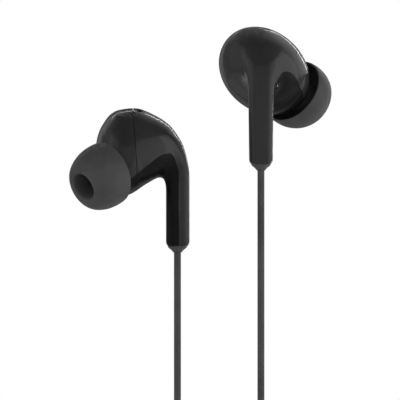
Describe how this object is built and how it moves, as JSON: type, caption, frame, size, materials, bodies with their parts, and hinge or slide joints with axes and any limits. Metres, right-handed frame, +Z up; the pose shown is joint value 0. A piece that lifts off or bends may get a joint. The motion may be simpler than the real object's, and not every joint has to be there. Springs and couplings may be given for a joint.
{
  "type": "wired earphones",
  "caption": "In-ear earphones with stemmed buds, soft tips, an in-line remote, a splitter, put-away cord coils and a 3.5 mm plug.",
  "frame": {"origin": "centre of the left ear tip's mouth, where it meets the ear canal", "axes": "+Z up with the buds upright as worn, +X across the pair from the left bud to the right bud, +Y away from the front"},
  "size_m": [0.0514, 0.0348, 0.1874],
  "materials": {
    "shell": "satin black moulded ABS",
    "trim": "piano black gloss",
    "silicone": "matte silicone",
    "mesh": "black woven steel mesh",
    "boot": "soft TPE",
    "cord": "matte TPE jacket",
    "remote": "satin black",
    "button": "satin black",
    "board": "glass epoxy board",
    "switch": "stainless domes",
    "basket": "zinc plated steel",
    "magnet": "nickel plated neodymium",
    "copper": "enamelled copper",
    "film": "PET film",
    "contact": "gold plated",
    "insulator": "black nylon",
    "knot": "moulded stop",
    "tie": "soft strap"
  },
  "bodies": {
    "earphones": {"outer_shell_left": "shell", "outer_shell_right": "shell", "stem_trim_left": "trim", "stem_trim_right": "trim", "vent_screen_left": "mesh", "vent_screen_right": "mesh", "inner_shell_left": "shell", "inner_shell_right": "shell", "nozzle_screen_left": "mesh", "nozzle_screen_right": "mesh", "driver_basket_left": "basket", "driver_basket_right": "basket", "driver_magnet_left": "magnet", "driver_magnet_right": "magnet", "driver_top_plate_left": "basket", "driver_top_plate_right": "basket", "driver_cover_left": "basket", "driver_cover_right": "basket", "cable_boot_left": "boot", "cable_boot_right": "boot", "cable_knot_left": "knot", "cable_knot_right": "knot", "remote_front": "remote", "remote_back": "remote", "remote_board": "board", "dome_switches": "switch", "microphone": "switch", "remote_boot_upper": "boot", "remote_boot_lower": "boot", "splitter_body": "remote", "splitter_relief": "boot", "plug_relief": "boot", "plug_grip": "remote", "plug_insulators": "insulator", "plug_tip": "contact", "plug_sleeve": "contact", "plug_ring_2": "contact", "plug_ring_1": "contact", "cable_tie": "tie", "branch_left": "cord", "branch_left_end": "cord", "branch_right_upper": "cord", "branch_right_lower": "cord", "branch_right_end": "cord", "main_cord": "cord", "plug_lead": "cord", "coil_left": "cord", "coil_right": "cord", "coil_main": "cord"},
    "ear_tip_left": {"ear_tip_left": "silicone"},
    "ear_tip_right": {"ear_tip_right": "silicone"},
    "diaphragm_left": {"diaphragm_left": "film", "voice_coil_left": "copper"},
    "diaphragm_right": {"diaphragm_right": "film", "voice_coil_right": "copper"},
    "button_up": {"button_up": "button"},
    "button_play": {"button_play": "button"},
    "button_down": {"button_down": "button"}
  },
  "joints": [
    {"name": "tip_pull_left", "type": "slide", "parent": "earphones", "child": "ear_tip_left", "axis": [-0.713, -0.573, -0.404], "range_m": [0, 0.008]},
    {"name": "tip_pull_right", "type": "slide", "parent": "earphones", "child": "ear_tip_right", "axis": [0.573, 0.713, -0.404], "range_m": [0, 0.008]},
    {"name": "diaphragm_stroke_left", "type": "slide", "parent": "earphones", "child": "diaphragm_left", "axis": [0.9976, 0, 0.0698], "range_m": [-0.00015, 0.00015], "stiffness_N_per_m": 200},
    {"name": "diaphragm_stroke_right", "type": "slide", "parent": "earphones", "child": "diaphragm_right", "axis": [0, -0.9976, 0.0698], "range_m": [-0.00015, 0.00015], "stiffness_N_per_m": 200},
    {"name": "press_up", "type": "slide", "parent": "earphones", "child": "button_up", "axis": [0, 1, 0], "range_m": [0, 0.0003], "stiffness_N_per_m": 2000, "springref_m": -0.00005},
    {"name": "press_play", "type": "slide", "parent": "earphones", "child": "button_play", "axis": [0, 1, 0], "range_m": [0, 0.0003], "stiffness_N_per_m": 2000, "springref_m": -0.00005},
    {"name": "press_down", "type": "slide", "parent": "earphones", "child": "button_down", "axis": [0, 1, 0], "range_m": [0, 0.0003], "stiffness_N_per_m": 2000, "springref_m": -0.00005}
  ]
}
